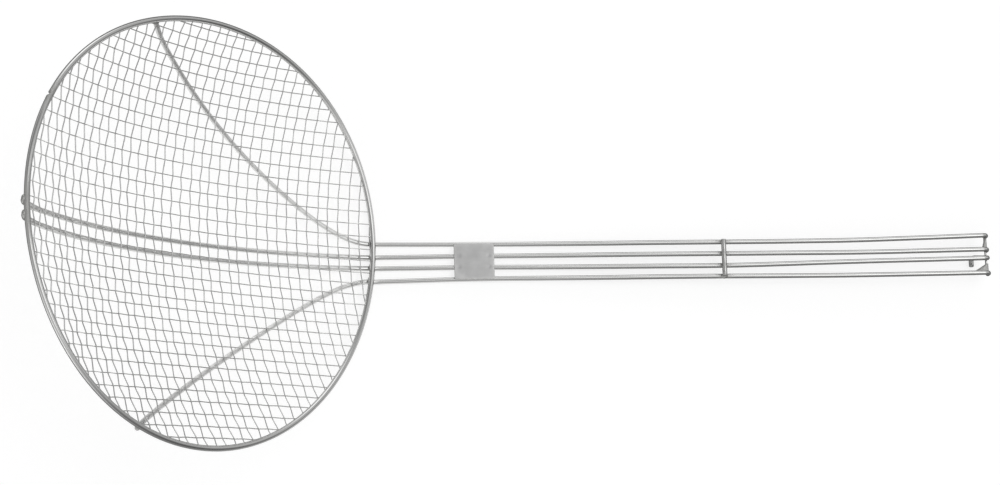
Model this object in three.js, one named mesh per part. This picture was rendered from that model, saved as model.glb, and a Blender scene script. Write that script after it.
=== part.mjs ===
// Frying strainer: a shallow bowl of woven wire in a round hoop, on four long wires that run on as the
// handle. Millimetres and degrees. The bowl is drawn with its rim level, x towards the handle and z out of
// the open side, and the whole strainer is then turned to lie on its handle and hook.
import * as THREE from 'three';

// Wires and sheet
const RIM_WIRE = 3.1;
const FRAME_WIRE = 2.7;
const MESH_WIRE = 0.65;
const BAR_WIRE = 2.7;
const SPACER_WIRE = 1.4;
const PLATE_SHEET = 0.8;
const SEAT = 0.25; // clearance between pieces that are welded or rest on each other
const WEAVE_CLEARANCE = 0.2; // clearance between mesh wires where they cross

// Bowl
const RIM_RADIUS = 113; // to the middle of the hoop's wire
const BOWL_DEPTH = 29.5; // from the rim's middle plane to the bottom of its sphere
const MESH_WIRES_ALONG = 22;
const MESH_WIRES_ACROSS = 22;
const CURL_ANGLE = 45; // how far the inner wires wrap round the far side of the rim
const FAN_ANGLE_LEFT = 36.4; // outer wires' turn away from the handle, seen from above the bowl
const FAN_ANGLE_RIGHT = 31.6;
const FAN_BEND = 38;
const FAN_OVERHANG = 1.8; // outer wires' ends past the middle of the rim

// Handle, measured along it from the rim
const HANDLE_ANGLE = 39.5; // rise out of the rim's plane
const HANDLE_LENGTH = 353.8;
const HANDLE_OFFSET = -4.8; // handle's middle line beside the bowl's
const HANDLE_BEND = 30;
const OUTER_AT_RIM = 10.9; // outer wires' distance from the handle's middle line
const OUTER_AT_GRIP = 9.7;
const OUTER_AT_END = 10.8;
const INNER_AT_RIM = 3.5;
const INNER_AT_GRIP = 3.3;
const INNER_AT_END = 2.4;
const PLATE_START = 46.5;
const PLATE_LENGTH = 22.4;
const PLATE_OVERHANG = 0.5; // plate's edges past the middle of the outer wires
const PLATE_CORNER = 1;
const BAR_START = 198.6;
const BAR_OVERHANG = 1.2; // bar past the middle of the outer wires
const TIP_BEND = 2.6; // bend of the wires' ends, to the middle of the wire
const TIP_TURN = 90; // turn of a plain end, down from the handle
const TIP_LENGTH = 2; // straight tip past that bend
const HOOK_TURN = 115; // turn of the end that forms the hanging hook
const HOOK_LEG = 7.5; // straight leg of the hook
const FOOT_BEND = 1.8; // bend of the hook's foot to the side, to the middle of the wire
const FOOT_LENGTH = 0.8; // straight end of the foot

// Facets
const WIRE_SIDES = 8;
const MESH_SIDES = 4;
const RIM_STEPS = 96;
const BEND_STEPS = 5;
const DOME_STEPS = 22;
const FAN_STEPS = 13;

const radians = THREE.MathUtils.degToRad;
const rimR = RIM_WIRE / 2;
const frameR = FRAME_WIRE / 2;
const meshR = MESH_WIRE / 2;
const spacerR = SPACER_WIRE / 2;
const barR = BAR_WIRE / 2;

// Three spheres on one centre: through the middle of the rim, of the frame wires and of the mesh.
const rimSphere = (RIM_RADIUS ** 2 + BOWL_DEPTH ** 2) / (2 * BOWL_DEPTH);
const sphereHeight = rimSphere - BOWL_DEPTH;
const weaveLift = meshR + WEAVE_CLEARANCE / 2;
const frameSphere = rimSphere + rimR + SEAT + frameR;
const meshSphere = frameSphere - frameR - SEAT - meshR - weaveLift;
const rimSlope = Math.asin(RIM_RADIUS / rimSphere);

const nickel = () => new THREE.MeshStandardMaterial({ color: 0xc4c5c6, roughness: 0.28, metalness: 1 });
const sheet = () => new THREE.MeshStandardMaterial({ color: 0xb2b2b2, roughness: 0.5, metalness: 1 });

const bowl = new THREE.Group();

function add(group, name, geometry, material) {
  const mesh = new THREE.Mesh(geometry, material);
  mesh.name = name;
  group.add(mesh);
}

// Evenly spaced values from one end to the other, both included.
function spaced(from, to, steps) {
  return Array.from({ length: steps + 1 }, (_, k) => from + ((to - from) * k) / steps);
}

// A regular section with a corner on the x axis.
function polygon(radius, sides) {
  const middle = new THREE.Vector2();
  const corner = (turn) => new THREE.Vector2(radius, 0).rotateAround(middle, turn);
  return new THREE.Shape(spaced(0, 2 * Math.PI, sides).slice(1).map(corner));
}

// A wire through the given points, with one ring of its section at each of them.
function wire(points, radius, sides) {
  const path = new THREE.CatmullRomCurve3(points);
  path.getUtoTmapping = (u) => u;
  const options = { steps: points.length - 1, extrudePath: path, bevelEnabled: false };
  return new THREE.ExtrudeGeometry(polygon(radius, sides), options);
}

// The point of a sphere under the plan position (x, y).
function onSphere(radius, x, y) {
  return new THREE.Vector3(x, y, sphereHeight - Math.sqrt(radius ** 2 - x ** 2 - y ** 2));
}

// Rim: a round section revolved into a closed ring, with its axis turned upright.
function rimHoop() {
  const profile = spaced(0, 2 * Math.PI, WIRE_SIDES).map(
    (turn) => new THREE.Vector2(RIM_RADIUS + rimR * Math.cos(turn), rimR * Math.sin(turn)),
  );
  profile[WIRE_SIDES].copy(profile[0]);
  return new THREE.LatheGeometry(profile, RIM_STEPS).rotateX(Math.PI / 2);
}

// The handle's plane: wires leave the frame sphere under the rim, bend up and run straight.
const handleRise = radians(HANDLE_ANGLE);
const leaveX = frameSphere * Math.sin(rimSlope);
const leaveZ = sphereHeight - frameSphere * Math.cos(rimSlope);
const bendRadius = HANDLE_BEND * Math.sign(handleRise - rimSlope);
const bendLength = bendRadius * (handleRise - rimSlope);
const along = new THREE.Vector3(Math.cos(handleRise), 0, Math.sin(handleRise));
const upward = new THREE.Vector3(-Math.sin(handleRise), 0, Math.cos(handleRise));
const sideways = new THREE.Vector3(0, 1, 0);

// The bend's point where the wire has reached the given slope.
function bendPoint(slope, y) {
  const x = leaveX + bendRadius * (Math.sin(slope) - Math.sin(rimSlope));
  const z = leaveZ + bendRadius * (Math.cos(rimSlope) - Math.cos(slope));
  return new THREE.Vector3(x, y, z);
}

// A point of the handle: distance from the rim, sideways place and height over the wires' middle plane.
function handlePoint(distance, y, height) {
  return bendPoint(handleRise, HANDLE_OFFSET + y)
    .addScaledVector(along, distance - bendLength)
    .addScaledVector(upward, height);
}

// Ends: each wire bends down at the handle's end and stops in a short straight tip.
const tipStart = HANDLE_LENGTH - frameR - TIP_BEND;

function endPoints(y, turn, straight) {
  const bend = spaced(0, turn, BEND_STEPS).map((angle) =>
    handlePoint(tipStart + TIP_BEND * Math.sin(angle), y, TIP_BEND * (Math.cos(angle) - 1)),
  );
  return [...bend, bend[BEND_STEPS].clone().addScaledVector(headingAfter(turn), straight)];
}

// The way a wire heads after it has turned down from the handle.
function headingAfter(turn) {
  return along.clone().multiplyScalar(Math.cos(turn)).addScaledVector(upward, -Math.sin(turn));
}

// Hanging hook: an end with a longer leg, turned further back, and a foot bent to the right side.
function hookPoints(y) {
  const turn = radians(HOOK_TURN);
  const leg = endPoints(y, turn, HOOK_LEG);
  const ankle = leg.at(-1);
  const foot = spaced(0, Math.PI / 2, BEND_STEPS).slice(1).map((angle) =>
    ankle.clone()
      .addScaledVector(headingAfter(turn), FOOT_BEND * Math.sin(angle))
      .addScaledVector(sideways, FOOT_BEND * (Math.cos(angle) - 1)),
  );
  return [...leg, ...foot, foot.at(-1).clone().addScaledVector(sideways, -FOOT_LENGTH)];
}

// The run from the end to the rim, with the wire's distance from the middle line at the rim, grip and end.
function handleRun(side, atRim, atGrip, atEnd, hooked) {
  const y = side * atEnd;
  const end = hooked ? hookPoints(y) : endPoints(y, radians(TIP_TURN), TIP_LENGTH);
  const grip = [BAR_START, PLATE_START].map((distance) => handlePoint(distance, side * atGrip, 0));
  const slopes = spaced(handleRise, rimSlope, BEND_STEPS);
  const bend = slopes.map((slope) => bendPoint(slope, HANDLE_OFFSET + side * atRim));
  return [...end.reverse(), ...grip, ...bend];
}

// Inner wire: straight across under the bowl, then curled up round the far side of the rim.
function innerWire(side, hooked) {
  const y = HANDLE_OFFSET + side * INNER_AT_RIM;
  const farX = -Math.sqrt(RIM_RADIUS ** 2 - y ** 2);
  const dome = spaced(leaveX, farX - (leaveX - RIM_RADIUS), DOME_STEPS)
    .slice(1, -1)
    .map((x) => onSphere(frameSphere, x, y));
  const reach = frameSphere - rimSphere;
  const curl = spaced(rimSlope, rimSlope + radians(CURL_ANGLE), BEND_STEPS).map(
    (turn) => new THREE.Vector3(farX - reach * Math.sin(turn), y, -reach * Math.cos(turn)),
  );
  return [...handleRun(side, INNER_AT_RIM, INNER_AT_GRIP, INNER_AT_END, hooked), ...dome, ...curl];
}

// Outer wire: turned aside from under the rim, then straight out under the mesh to the rim's side.
function outerWire(side, fanAngle) {
  const y = HANDLE_OFFSET + side * OUTER_AT_RIM;
  const turn = radians(fanAngle);
  const bendStart = new THREE.Vector2(leaveX, y);
  const bend = spaced(0, turn, BEND_STEPS).map(
    (angle) => bendStart.clone().add(
      new THREE.Vector2(-FAN_BEND * Math.sin(angle), side * FAN_BEND * (1 - Math.cos(angle))),
    ),
  );
  const start = bend[BEND_STEPS];
  const heading = new THREE.Vector2(-Math.cos(turn), side * Math.sin(turn));
  const inward = start.dot(heading);
  const endRadius = RIM_RADIUS + FAN_OVERHANG;
  const length = -inward + Math.sqrt(inward ** 2 + endRadius ** 2 - start.lengthSq());
  const straight = spaced(0, length, FAN_STEPS).slice(1).map(
    (distance) => start.clone().addScaledVector(heading, distance),
  );
  const plan = [...bend.slice(1), ...straight];
  const dome = plan.map((place) => onSphere(frameSphere, place.x, place.y));
  return [...handleRun(side, OUTER_AT_RIM, OUTER_AT_GRIP, OUTER_AT_END, false), ...dome];
}

// Mesh: wires a steady step apart along the bowl's curve, in plan lines along and across the handle.
const meshEdge = RIM_RADIUS - (rimR + SEAT) * Math.cos(rimSlope);
const edgeAngle = Math.asin(meshEdge / meshSphere);
const linePlace = (k, count) => meshSphere * Math.sin(edgeAngle * ((2 * k + 1) / count - 1));
const lineNumber = (place, count) => ((Math.asin(place / meshSphere) / edgeAngle + 1) * count - 1) / 2;

// One woven wire at the given place: it rises over and dips under the crossing wires in turn.
// The lift follows a cosine of the crossing's number, so it also holds at the wire's cut ends.
function meshWire(row, rows, columns, phase, toPlan) {
  const place = linePlace(row, rows);
  const end = Math.sqrt(meshEdge ** 2 - (Math.abs(place) + meshR) ** 2);
  const crossings = Array.from({ length: columns }, (_, k) => linePlace(k, columns));
  const inside = crossings.filter((crossing) => Math.abs(crossing) < end - MESH_WIRE);
  const points = [-end, ...inside, end].map((run) => {
    const lift = phase * weaveLift * Math.cos(Math.PI * (lineNumber(run, columns) + row));
    const [x, y] = toPlan(run, place);
    const centre = new THREE.Vector3(0, 0, sphereHeight);
    return onSphere(meshSphere, x, y).lerp(centre, lift / meshSphere);
  });
  return wire(points, meshR, MESH_SIDES);
}

const numbered = (name, k) => `${name}_${String(k + 1).padStart(2, '0')}`;

add(bowl, 'rim_hoop', rimHoop(), nickel());

const frameWires = {
  frame_wire_outer_left: outerWire(1, FAN_ANGLE_LEFT),
  frame_wire_inner_left: innerWire(1, false),
  frame_wire_inner_right: innerWire(-1, true),
  frame_wire_outer_right: outerWire(-1, FAN_ANGLE_RIGHT),
};
for (const [name, points] of Object.entries(frameWires)) {
  add(bowl, name, wire(points, frameR, WIRE_SIDES), nickel());
}

for (let k = 0; k < MESH_WIRES_ALONG; k += 1) {
  const geometry = meshWire(k, MESH_WIRES_ALONG, MESH_WIRES_ACROSS, 1, (run, place) => [run, place]);
  add(bowl, numbered('mesh_along', k), geometry, nickel());
}
for (let k = 0; k < MESH_WIRES_ACROSS; k += 1) {
  const geometry = meshWire(k, MESH_WIRES_ACROSS, MESH_WIRES_ALONG, -1, (run, place) => [place, run]);
  add(bowl, numbered('mesh_across', k), geometry, nickel());
}

// Pieces across the handle, in its own axes: x sideways, y up off the wires, z along the handle.
const handle = new THREE.Group();
handle.setRotationFromMatrix(new THREE.Matrix4().makeBasis(sideways, upward, along));
handle.position.copy(handlePoint(0, 0, 0));
bowl.add(handle);

// Grip plate: a flat sheet with small round corners, flat on the four wires.
function gripPlate() {
  const halfWidth = OUTER_AT_GRIP + PLATE_OVERHANG;
  const outline = new THREE.Shape();
  const corner = Math.min(PLATE_CORNER, halfWidth, PLATE_LENGTH / 2);
  outline.moveTo(-halfWidth + corner, 0);
  outline.lineTo(halfWidth - corner, 0);
  outline.absarc(halfWidth - corner, corner, corner, -Math.PI / 2, 0);
  outline.lineTo(halfWidth, PLATE_LENGTH - corner);
  outline.absarc(halfWidth - corner, PLATE_LENGTH - corner, corner, 0, Math.PI / 2);
  outline.lineTo(-halfWidth + corner, PLATE_LENGTH);
  outline.absarc(-halfWidth + corner, PLATE_LENGTH - corner, corner, Math.PI / 2, Math.PI);
  outline.lineTo(-halfWidth, corner);
  outline.absarc(-halfWidth + corner, corner, corner, Math.PI, 1.5 * Math.PI);
  const options = { depth: PLATE_SHEET, bevelEnabled: false, curveSegments: BEND_STEPS };
  return new THREE.ExtrudeGeometry(outline, options)
    .rotateX(Math.PI / 2)
    .translate(0, frameR + SEAT + PLATE_SHEET, PLATE_START);
}
add(handle, 'grip_plate', gripPlate(), sheet());

// A straight round bar across the handle, from one sideways place to another.
function crossBar(radius, from, to, height, distance) {
  const ends = [from, to].map((x) => new THREE.Vector3(x, height, distance));
  return wire(ends, radius, WIRE_SIDES);
}
const barHalf = OUTER_AT_GRIP + BAR_OVERHANG;
const barHeight = frameR + SEAT + barR;
add(handle, 'grip_cross_bar', crossBar(barR, -barHalf, barHalf, barHeight, BAR_START), nickel());

// Spacers: short rods between the wires' ends, at the foot of their bends.
const endPlaces = [OUTER_AT_END, INNER_AT_END, -INNER_AT_END, -OUTER_AT_END];
['left', 'middle', 'right'].forEach((name, k) => {
  const from = endPlaces[k] - frameR - SEAT;
  const to = endPlaces[k + 1] + frameR + SEAT;
  add(handle, `end_spacer_${name}`, crossBar(spacerR, to, from, -TIP_BEND, tipStart + TIP_BEND), nickel());
});

// At rest the strainer lies on the hook's foot and on the bend of the handle under the rim.
const foot = hookPoints(0).at(-1).sub(handlePoint(bendLength, 0, 0));
const restTilt = Math.atan2(-foot.dot(upward), foot.dot(along));
bowl.rotation.y = handleRise - restTilt;

// The origin is under the middle of the strainer's box, on the surface that it lies on.
const box = new THREE.Box3().setFromObject(bowl, true);
const middle = box.getCenter(new THREE.Vector3());
bowl.position.set(-middle.x, -middle.y, -box.min.z);

const strainer = new THREE.Group();
strainer.add(bowl);

export default strainer;
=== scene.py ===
"""Frying strainer: a shallow bowl of woven wire in a hoop, on four long wires that run on as the handle.

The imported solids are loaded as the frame. Each operator works out one piece, or a group of like pieces, as a
surface in metres in the frame's own axes, and gives it its finish.
"""
import math
from collections import namedtuple

import bpy
import numpy as np
from mathutils import Euler, Matrix, Vector


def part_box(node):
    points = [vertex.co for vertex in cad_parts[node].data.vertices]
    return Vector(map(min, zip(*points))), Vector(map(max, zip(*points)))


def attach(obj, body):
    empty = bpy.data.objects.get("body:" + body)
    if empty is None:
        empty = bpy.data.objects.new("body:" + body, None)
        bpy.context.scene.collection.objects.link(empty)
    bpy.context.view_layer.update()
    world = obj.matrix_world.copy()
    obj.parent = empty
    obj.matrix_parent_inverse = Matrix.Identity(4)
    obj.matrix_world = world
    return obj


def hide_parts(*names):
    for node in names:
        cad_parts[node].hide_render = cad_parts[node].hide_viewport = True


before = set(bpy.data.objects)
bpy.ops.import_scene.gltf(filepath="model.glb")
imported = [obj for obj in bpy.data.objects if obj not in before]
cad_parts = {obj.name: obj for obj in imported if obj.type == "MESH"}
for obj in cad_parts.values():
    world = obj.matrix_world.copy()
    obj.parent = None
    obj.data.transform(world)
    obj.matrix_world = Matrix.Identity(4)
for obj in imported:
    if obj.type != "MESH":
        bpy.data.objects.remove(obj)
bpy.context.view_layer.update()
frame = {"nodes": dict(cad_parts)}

bl_info = {
    "name": "Frying strainer",
    "version": (1, 0, 0),
    "blender": (4, 5, 0),
    "location": "View3D > Sidebar > Strainer",
    "description": "Builds a wire frying strainer piece by piece, with its finishes and its studio",
    "category": "Object",
}

MM = 0.001
BODY = "root"
MESH_NODES = 22
LONG_WIRES = ("outer_left", "inner_left", "inner_right", "outer_right")
HOOKED_WIRE = "inner_right"

# The hoop's solid says where the bowl is: half the extents of its centre line are (R cos t, R, R sin t),
# with R the hoop's radius and t the angle at which the bowl stands.
RIM_WIRE = 3.1
RIM_LOW, RIM_HIGH = (np.array(corner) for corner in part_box("rim_hoop"))
RIM_HALF = (RIM_HIGH - RIM_LOW) / 2 - RIM_WIRE / 2 * MM
RIM_RADIUS = RIM_HALF[1] / MM
BOWL_TILT = math.degrees(math.atan2(RIM_HALF[2], RIM_HALF[0]))

# Points round a wire and steps along it, in numbers and in metres.
RIM_RINGS = 1440
WIRE_SIDES = 16
WIRE_STEP = 0.5 * MM
EASING = 2
STRAIGHT_STEPS = 400
STRAIGHT_EASING = 24
BEND_STEPS = 12
TIP_STEPS = 20
FAN_STEPS = 600
CROSSING_STEPS = 160
CURL_STEPS = 24
CLOTH_STEPS = 1200
MESH_SIDES = 8
MESH_STEPS = 8
END_RINGS = 4
BAR_STEPS = 40
SPACER_STEPS = 12
WEB_STEPS = 24
BEAD_RINGS = 14
BEAD_SIDES = 24
PLATE_SIDES = 240
PLATE_RINGS = 40
CORNER_STEPS = 7
EDGE_STEPS = 6

# Most wires that the cloth can have on either side of its middle one, and how many rim radii it is followed
# before it is cut.
MESH_HALF_COUNT = 21
CLOTH_REACH = 1.12

# Greatest swelling of a weld bead, as a share of its radii.
BEAD_SWELL = 0.08

# Seeds of the chance errors.
STRAY_SEED = 40
CLOTH_SEED = 7
WEAR_SEED = 11
RIM_WELD_SEED = 100
BAR_WELD_SEED = 120


def linear(code):
    """An sRGB hex colour as linear red, green and blue."""
    channels = np.array([int(code[place:place + 2], 16) for place in (1, 3, 5)]) / 255
    dark = channels / 12.92
    light = ((channels + 0.055) / 1.055) ** 2.4
    return tuple(float(value) for value in np.where(channels <= 0.04045, dark, light))


def length(name, millimetres, description):
    """A setting for a length, written here in millimetres."""
    return bpy.props.FloatProperty(
        name=name, description=description, default=millimetres * MM, unit="LENGTH", precision=5)


def places(name, millimetres, description):
    """A setting for a row of lengths, written here in millimetres."""
    return bpy.props.FloatVectorProperty(
        name=name, description=description, default=[value * MM for value in millimetres],
        size=len(millimetres), unit="LENGTH", precision=5)


def soft_light(name, way, sharpness, strength, description):
    """A setting for a soft patch of light in the room: its way, its sharpness and its strength, below 0 for
    a dim."""
    return bpy.props.FloatVectorProperty(
        name=name, description=description, default=(*way, sharpness, strength), size=5)


def angle(name, degrees, description):
    """A setting for an angle, written here in degrees."""
    return bpy.props.FloatProperty(
        name=name, description=description, default=math.radians(degrees), subtype="ANGLE")


def share(name, value, description):
    """A setting between 0 and 1."""
    return bpy.props.FloatProperty(
        name=name, description=description, default=value, min=0, max=1, subtype="FACTOR")


def colour(name, code, description):
    """A setting for a colour, written here as sRGB hex."""
    return bpy.props.FloatVectorProperty(
        name=name, description=description, default=linear(code), size=3, min=0, max=1, subtype="COLOR")


BESIDE = "Place beside the handle's middle at the rim, at the plate, at the bar, half way on and at the end"


class StrainerWires(bpy.types.PropertyGroup):
    """Gauges of the wires and of the sheet."""

    rim: length("Rim wire", RIM_WIRE, "Diameter of the hoop's wire")
    frame: length("Frame wire", 2.7, "Diameter of the four long wires")
    mesh: length("Mesh wire", 0.65, "Diameter of the woven wires")
    bar: length("Bar wire", 2.7, "Diameter of the cross bar half way along the handle")
    spacer: length("Spacer wire", 1.2, "Diameter of the short rods between the wires' ends")
    sheet: length("Plate sheet", 0.8, "Thickness of the grip plate")
    seat: length("Seat", 0.25, "Space that a weld fills between two pieces")
    frame_end: length("Frame wire's end", 0.5, "Radius of the edge at a frame wire's cut ends")
    mesh_end: length("Mesh wire's end", 0.1, "Radius of the edge at a mesh wire's cut ends")
    bar_end: length("Bar's end", 0.45, "Radius of the edge at the bar's cut ends")
    spacer_end: length("Spacer's end", 0.3, "Radius of the edge at a spacer's cut ends")
    burnt: length("Burnt wire", 3.5, "Distance from a weld in which its heat dulled a frame wire")
    burnt_rod: length("Burnt rod", 2.2, "Distance from a weld in which its heat dulled the bar or a spacer")


class StrainerBowl(bpy.types.PropertyGroup):
    """The hoop, and the frame wires under the bowl."""

    radius: length("Rim radius", RIM_RADIUS, "Radius of the hoop's centre line")
    tilt: angle("Tilt", BOWL_TILT, "Angle of the rim's plane from the table")
    depth: length("Depth", 29.5, "Depth of the bowl below the rim")
    spread: length("Spread", 0.2, "How much wider the hoop was bent than its drawing")
    drift: length("Drift", 0.9, "How far the hoop sits off the bowl's middle")
    drift_axis: angle("Drift axis", -16.5, "Direction in which the hoop sits off the middle, from the handle")
    oval: length("Oval", 1.45, "How far the hand-bent hoop is from round, as an oval")
    oval_axis: angle("Oval axis", 40.8, "Direction of the oval's long axis, from the handle")
    lobe: length("Lobe", 1.3, "How far the hand-bent hoop is from round, in three lobes")
    lobe_axis: angle("Lobe axis", 25.1, "Direction of the first lobe, from the handle")
    corner: length("Corner", 0.3, "How far the hand-bent hoop is from round, in four corners")
    corner_axis: angle("Corner axis", -34.4, "Direction of the first corner, from the handle")
    joint: angle("Butt joint", 151.1, "Place of the hoop's butt joint, from the handle")
    joint_swell: length("Joint swelling", 0.12, "How much the butt weld stands proud")
    joint_width: length("Joint width", 2.2, "Distance in which the butt weld's swelling dies away")
    joint_notch: length("Joint notch", 1.6, "Depth of the nick left on the outside of the butt joint")
    notch_width: length("Notch width", 0.7, "Width of the nick's floor, and of each of its sloping sides")
    burnt: places("Burnt rim", (13, 13, 9), "Reach of the dull patches at the two far welds and at the joint")
    # Under the bowl the frame wires turn satin, and are also painted lighter there: painted light that makes
    # up for the mesh's shade.
    satin_and_light_start: length("Satin start", 2, "Distance inside the hoop where the frame wires turn satin")
    satin_and_light_edge: length("Satin edge", 10, "Distance in which the frame wires turn satin")
    curl: angle("Curl", 20, "How far the inner wires turn up round the far rim")
    curl_lean: length("Curl lean", 1.8, "How far the inner wires' curled ends lean to the left")
    sink: length("Sink", 1.4, "How far the wires' ends are pressed into the rim by their welds")
    sink_reach: length("Sink reach", 7, "Distance in which a wire's end rises into its weld")
    under_left: places("Inner left wire", (3.7, 3.5), "Beside the handle's middle, at mid bowl and far rim")
    under_right: places("Inner right wire", (-3.95, -4.05), "Beside that middle, at mid bowl and far rim")
    fan_left: angle("Left fan", 36.6, "Angle at which the outer left wire leaves the handle")
    fan_right: angle("Right fan", 33.6, "Angle at which the outer right wire leaves the handle")
    fan_ease: length("Fan ease", 12.3, "Distance in which the outer wires turn most of the way")
    fan_bow: angle("Right fan's bow", -2.1, "How far the outer right wire turns back over one rim radius")
    overhang_left: length("Left overhang", -0.8, "How far the outer left wire passes the rim's centre line")
    overhang_right: length("Right overhang", 1.5, "How far the outer right wire passes the rim's centre line")


class StrainerMesh(bpy.types.PropertyGroup):
    """The woven wires and the set that the cloth took when it was pressed into the bowl."""

    along_pitch: length("Pitch of along wires", 6.62, "Spacing of the wires that run with the handle")
    along_start: length("First along wire", 0.6, "Place of the middle wire that runs with the handle")
    along_gather: length("Gather", 1.6, "How far the cloth is drawn together over the frame wires")
    gather_wires: bpy.props.IntProperty(
        name="Wires to a gather", description="Number of wires from one gather to the next",
        default=21, min=2)
    across_pitch: length("Pitch of across wires", 5.98, "Spacing of the wires that cross the handle")
    across_start: length("First across wire", -1.4, "Place of the middle wire that crosses the handle")
    across_turn: angle("Turn of across wires", 1.76, "Angle of the cross wires from square")
    across_bow: length("Bow of across wires", 2.7, "Bow of a cross wire at the rim")
    along_taper: length("Taper of along wires", 3.6, "How much the along wires close up at the handle's side")
    along_bow: length("Bow of along wires", 2.95, "Bow of an along wire at the rim")
    along_spread: length("Spread of bows", 3, "How the bow changes from the right side to the left")
    along_crimp: length("Crimp of along wires", 0.2, "Height of the crimp either side of the cloth")
    across_crimp: length("Crimp of across wires", 0.5, "Height of the crimp either side of the cloth")
    crimp_edge: share("Crimp edge", 0.95, "How sharply a wire bends where it crosses another")
    clearance: length("Clearance", 0.2, "Space left between two wires where they cross")
    uneven: length("Unevenness", 0.28, "Typical error in a wire's place")
    shortest: length("Shortest wire", 30, "Wires shorter than this at the rim are cut off")
    sunk: length("Sunk", 0.6, "How far inside the rim's centre line the mesh wires end")


class StrainerHandle(bpy.types.PropertyGroup):
    """The handle, its plate, its bar and its hook."""

    rise: angle("Rise", 39.5, "Angle of the handle from the rim's plane")
    reach: length("Length", 353.8, "Length of the handle from the rim to the outside of its end")
    offset: length("Offset", -4.8, "Place of the handle's middle beside the rim's middle")
    bend: length("Bend", 30, "Bend radius where the handle leaves the bowl")
    outer_left: places("Outer left wire", (10.6, 9.75, 9.4, 9.3, 11.25), BESIDE)
    inner_left: places("Inner left wire", (3.05, 3.15, 2.8, 2.3, 3.15), BESIDE)
    inner_right: places("Inner right wire", (-3.1, -3.2, -4.2, -2.9, -1.9), BESIDE)
    outer_right: places("Outer right wire", (-10.6, -9.65, -10.15, -10.8, -10.4), BESIDE)
    wave: length("Waviness", 0.05, "How far the hand-straightened wires stray from straight")
    stray_waves: places("Stray waves", (110, 47), "Lengths of the two waves in which the wires stray")
    stray_start: length("Stray start", 20, "Distance from the wires' ends in which the waves begin")
    plate_start: length("Plate start", 46.5, "Distance of the plate from the rim")
    plate_length: length("Plate length", 22.4, "Size of the plate along the handle")
    plate_width: length("Plate width", 20.1, "Size of the plate across the handle")
    plate_corner: length("Plate corner", 1, "Radius of the plate's corners")
    plate_edge: length("Plate edge", 0.22, "Radius of the plate's worn edges")
    plate_dent: length("Spot weld dent", 0.07, "Depth of the dents that the spot welds left in the plate")
    dent_width: length("Dent width", 1.1, "Distance in which a spot weld's dent dies away")
    dent_near: share("Near dents", 0.76, "Place of the dents on the bowl's side, from middle to end")
    dent_far: share("Far dents", 0.74, "Place of the dents on the other side, from middle to end")
    ripple: length("Ripple", 0.06, "Height of the ripples at the plate's sides")
    ripple_length: length("Ripple length", 3.1, "Distance in which a ripple turns by one radian")
    wear: length("Wear", 0.9, "Distance from the plate's edge in which it is worn bright")
    bar_start: length("Bar start", 198.6, "Distance of the cross bar from the rim")
    bar_length: length("Bar length", 20.9, "Length of the cross bar")
    bar_slant: length("Bar slant", -0.2, "How far one end of the bar is ahead of the other")
    tip_bend: length("Tip bend", 2.6, "Bend radius of the wires' ends, which turn down")
    tip_turn: angle("Tip turn", 90, "How far the wires' ends turn down")
    tip_length: length("Tip length", 2, "Straight length of a wire past its bend")
    spacer_place: share("Spacer place", 0.65, "How far into the wires' bends the spacers sit")
    web_drop: length("Web drop", 0.9, "How far the webs lie below the wires' middles")
    web_sheet: length("Web thickness", 1.1, "Thickness of the webs")
    hook_turn: angle("Hook turn", 128, "How far the hook turns down")
    hook_leg: length("Hook leg", 8, "Straight length of the hook past its bend")
    hook_lean: angle("Hook lean", 11.8, "How far the hook leans to the left on its way down")
    foot_bend: length("Foot bend", 1.8, "Bend radius of the hook's foot")
    foot_length: length("Foot length", 3.5, "Straight length of the hook's foot")


class StrainerFinish(bpy.types.PropertyGroup):
    """Colours of the finishes."""

    wire_bright: colour("Wire, bright", "#d0d0cf", "Nickel plate on the hoop and the long wires")
    wire_shade: colour("Wire, shade", "#c6c6c5", "Drawing marks in the nickel plate")
    # Lighter than the bright plate: painted light on the wires under the bowl, making up for the shade the
    # mesh casts on them.
    wire_satin_painted_light: colour("Wire, satin", "#e9e9e8", "Nickel plate under the bowl, which no hand polishes")
    wire_edge: colour("Wire, edge", "#909090", "Tint of the nickel plate where it is seen at a slant")
    mesh_bright: colour("Mesh, bright", "#dcdcdb", "Nickel plate on the woven wires")
    mesh_shade: colour("Mesh, shade", "#c4c4c3", "Worn and sooty stretches of the woven wires")
    sheet_bright: colour("Plate, bright", "#cacac9", "Dull nickel plate on the sheet")
    sheet_shade: colour("Plate, shade", "#bababa", "Rolling marks in the sheet")
    weld: colour("Weld", "#bcbcba", "Weld metal and the plate dulled by its heat")
    weld_shade: colour("Weld, shade", "#a4a4a2", "Hollows of the weld metal")
    floor: colour("Floor", "#a8a8a8", "Paper under the strainer")


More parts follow.
